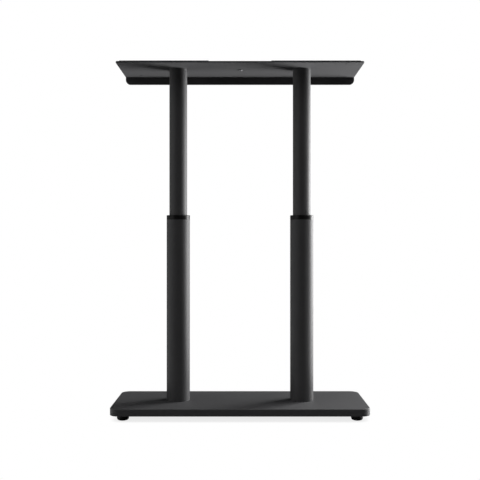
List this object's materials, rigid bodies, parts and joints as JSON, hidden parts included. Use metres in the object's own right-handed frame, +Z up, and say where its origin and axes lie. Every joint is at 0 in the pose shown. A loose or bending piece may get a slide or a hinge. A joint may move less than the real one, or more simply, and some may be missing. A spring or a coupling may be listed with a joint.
{
  "type": "height adjustable desk frame",
  "caption": "Height adjustable desk frame with two round telescopic columns, a flat base on levelling feet and a steel top plate.",
  "frame": {"origin": "on the floor, midway between the two columns, at the centre of the base", "axes": "+Z up, +X to the right seen from the front, +Y towards the back, where the top plate's edge is folded down"},
  "size_m": [0.848, 0.294, 1.18],
  "materials": {
    "graphite_powder_coat": "satin, fine texture",
    "gloss_black_plastic": "gloss",
    "black_nylon": "matte",
    "black_rubber": "matte",
    "black_slab_paint": "matte primer",
    "zinc_steel": "zinc plated",
    "black_oxide_steel": "black oxide, satin",
    "drawn_steel": "drawn, lightly oiled",
    "cast_aluminium": "as cast",
    "bronze": "turned",
    "white_acetal": "moulded"
  },
  "bodies": {
    "base": {"base_cover": "graphite_powder_coat", "base_plate": "black_slab_paint", "cover_studs": "zinc_steel", "cover_nuts": "zinc_steel", "column_bolts": "black_oxide_steel", "column_flange_left": "black_slab_paint", "column_flange_right": "black_slab_paint", "lower_tube_left": "graphite_powder_coat", "lower_tube_right": "graphite_powder_coat", "collar_left": "gloss_black_plastic", "collar_right": "gloss_black_plastic", "upper_glide_left": "white_acetal", "upper_glide_right": "white_acetal", "push_tube_left": "drawn_steel", "push_tube_right": "drawn_steel", "spindle_nut_left": "bronze", "spindle_nut_right": "bronze"},
    "lift": {"top_plate": "graphite_powder_coat", "top_pad_left": "black_rubber", "top_pad_right": "black_rubber", "head_screws": "zinc_steel", "centre_screw": "black_oxide_steel", "cable_grommets": "black_rubber", "tie_rods": "zinc_steel", "upper_tube_left": "graphite_powder_coat", "upper_tube_right": "graphite_powder_coat", "lower_glide_left": "white_acetal", "lower_glide_right": "white_acetal", "bearing_housing_left": "cast_aluminium", "bearing_housing_right": "cast_aluminium", "thrust_bearing_left": "drawn_steel", "thrust_bearing_right": "drawn_steel", "gearbox_case_left": "cast_aluminium", "gearbox_case_right": "cast_aluminium", "motor_can_left": "zinc_steel", "motor_can_right": "zinc_steel", "motor_cap_left": "black_nylon", "motor_cap_right": "black_nylon", "head_mount_left": "cast_aluminium", "head_mount_right": "cast_aluminium"},
    "spindle_assembly_left": {"spindle_left": "drawn_steel", "thrust_collar_left": "drawn_steel", "drive_coupling_left": "drawn_steel"},
    "spindle_assembly_right": {"spindle_right": "drawn_steel", "thrust_collar_right": "drawn_steel", "drive_coupling_right": "drawn_steel"},
    "foot_front_left": {"foot_cup_front_left": "black_nylon", "foot_sole_front_left": "black_rubber"},
    "stud_front_left": {"foot_stud_front_left": "zinc_steel"},
    "foot_front_right": {"foot_cup_front_right": "black_nylon", "foot_sole_front_right": "black_rubber"},
    "stud_front_right": {"foot_stud_front_right": "zinc_steel"},
    "foot_back_left": {"foot_cup_back_left": "black_nylon", "foot_sole_back_left": "black_rubber"},
    "stud_back_left": {"foot_stud_back_left": "zinc_steel"},
    "foot_back_right": {"foot_cup_back_right": "black_nylon", "foot_sole_back_right": "black_rubber"},
    "stud_back_right": {"foot_stud_back_right": "zinc_steel"}
  },
  "joints": [
    {"name": "lift_slide", "type": "slide", "parent": "base", "child": "lift", "axis": [0, 0, 1], "range_m": [-0.48, 0]},
    {"name": "spindle_left_turn", "type": "hinge", "parent": "lift", "child": "spindle_assembly_left", "pos_m": [-0.211, 0, 1.03], "axis": [0, 0, 1], "range_deg": [-10890, 90]},
    {"name": "spindle_right_turn", "type": "hinge", "parent": "lift", "child": "spindle_assembly_right", "pos_m": [0.211, 0, 1.03], "axis": [0, 0, 1], "range_deg": [-10890, 90]},
    {"name": "foot_front_left_adjust", "type": "slide", "parent": "base", "child": "foot_front_left", "axis": [0, 0, -1], "range_m": [0, 0.008]},
    {"name": "stud_front_left_turn", "type": "hinge", "parent": "foot_front_left", "child": "stud_front_left", "pos_m": [-0.3835, -0.1065, 0.022], "axis": [0, 0, 1], "range_deg": [-2310, 6]},
    {"name": "foot_front_right_adjust", "type": "slide", "parent": "base", "child": "foot_front_right", "axis": [0, 0, -1], "range_m": [0, 0.008]},
    {"name": "stud_front_right_turn", "type": "hinge", "parent": "foot_front_right", "child": "stud_front_right", "pos_m": [0.3835, -0.1065, 0.022], "axis": [0, 0, 1], "range_deg": [-2310, 6]},
    {"name": "foot_back_left_adjust", "type": "slide", "parent": "base", "child": "foot_back_left", "axis": [0, 0, -1], "range_m": [0, 0.008]},
    {"name": "stud_back_left_turn", "type": "hinge", "parent": "foot_back_left", "child": "stud_back_left", "pos_m": [-0.3835, 0.1065, 0.022], "axis": [0, 0, 1], "range_deg": [-2310, 6]},
    {"name": "foot_back_right_adjust", "type": "slide", "parent": "base", "child": "foot_back_right", "axis": [0, 0, -1], "range_m": [0, 0.008]},
    {"name": "stud_back_right_turn", "type": "hinge", "parent": "foot_back_right", "child": "stud_back_right", "pos_m": [0.3835, 0.1065, 0.022], "axis": [0, 0, 1], "range_deg": [-2310, 6]}
  ],
  "couplings": [
    {"joint": "spindle_left_turn", "follows": "lift_slide", "rad_per_m": 392.7},
    {"joint": "spindle_right_turn", "follows": "lift_slide", "rad_per_m": 392.7},
    {"joint": "stud_front_left_turn", "follows": "foot_front_left_adjust", "rad_per_m": -5026.5},
    {"joint": "stud_front_right_turn", "follows": "foot_front_right_adjust", "rad_per_m": -5026.5},
    {"joint": "stud_back_left_turn", "follows": "foot_back_left_adjust", "rad_per_m": -5026.5},
    {"joint": "stud_back_right_turn", "follows": "foot_back_right_adjust", "rad_per_m": -5026.5}
  ]
}
